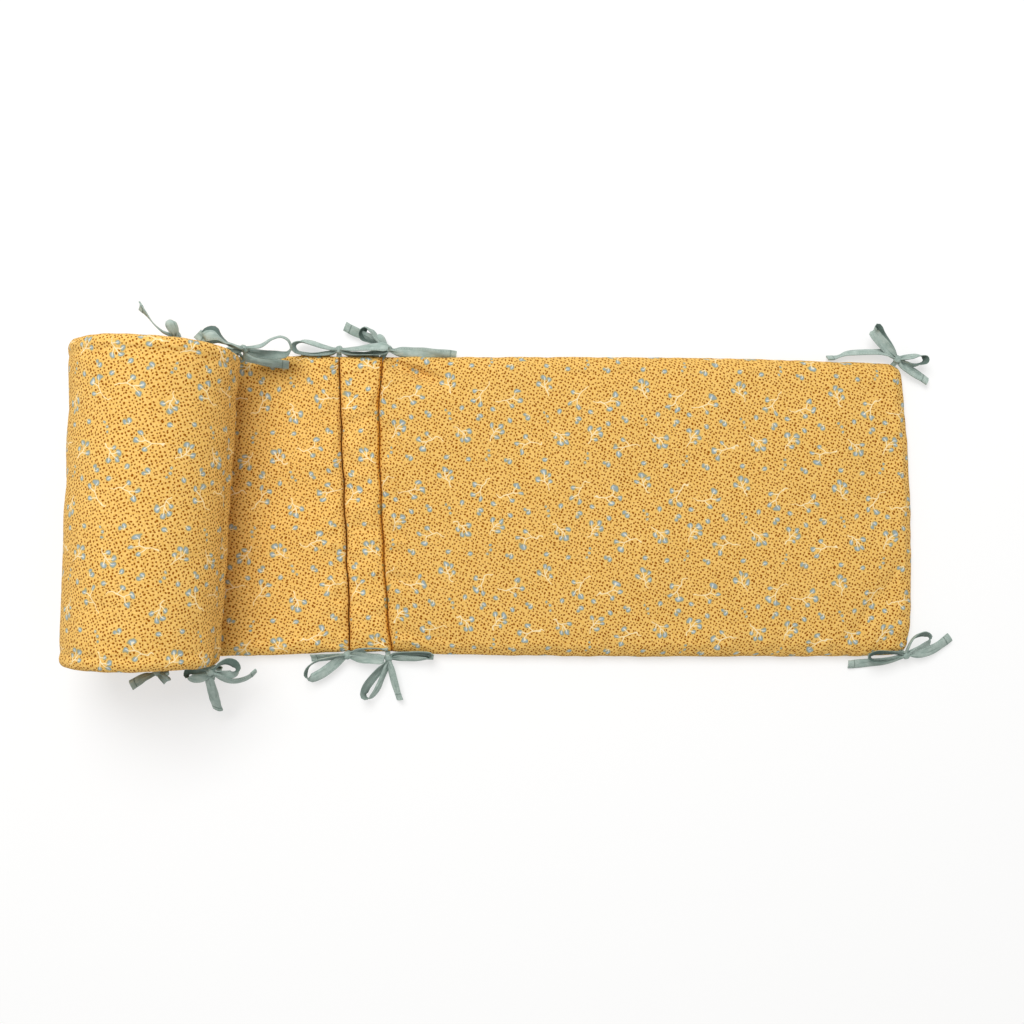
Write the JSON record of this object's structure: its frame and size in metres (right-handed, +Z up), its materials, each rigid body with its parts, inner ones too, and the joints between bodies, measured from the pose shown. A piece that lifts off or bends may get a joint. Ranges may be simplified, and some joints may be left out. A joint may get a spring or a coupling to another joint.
{
  "type": "crib bumper",
  "caption": "Padded crib bumper in printed cotton, one end panel laid flat and the far end rolled up, with tape ties knotted in bows along its top and bottom edges.",
  "frame": {"origin": "on the flat underside of the end panel, at mid height of the bumper and in line with the middle of the whole laid-out piece", "axes": "+Z up from the surface the bumper lies on; +X along the bumper's length, towards its flat end; +Y towards its top edge"},
  "size_m": [0.8777, 0.4002, 0.1488],
  "materials": {
    "end_cover": "plain woven cotton, mustard ground with an all-over print of small dots and berry sprigs, turned round against the rest",
    "strip_cover": "plain woven cotton, mustard ground with an all-over print of small dots and berry sprigs",
    "far_cover": "plain woven cotton, mustard ground with an all-over print of small dots and berry sprigs",
    "tape": "plain woven sage green cotton tape"
  },
  "bodies": {
    "root": {"end_panel": "end_cover", "middle_panel": "strip_cover", "rolled_end_panel": "far_cover", "tie_top_1": "tape", "tie_top_2": "tape", "tie_top_3": "tape", "tie_top_4": "tape", "tie_top_5": "tape", "tie_top_6": "tape", "tie_bottom_1": "tape", "tie_bottom_2": "tape", "tie_bottom_3": "tape", "tie_bottom_4": "tape", "tie_bottom_5": "tape", "tie_bottom_6": "tape"}
  },
  "joints": []
}
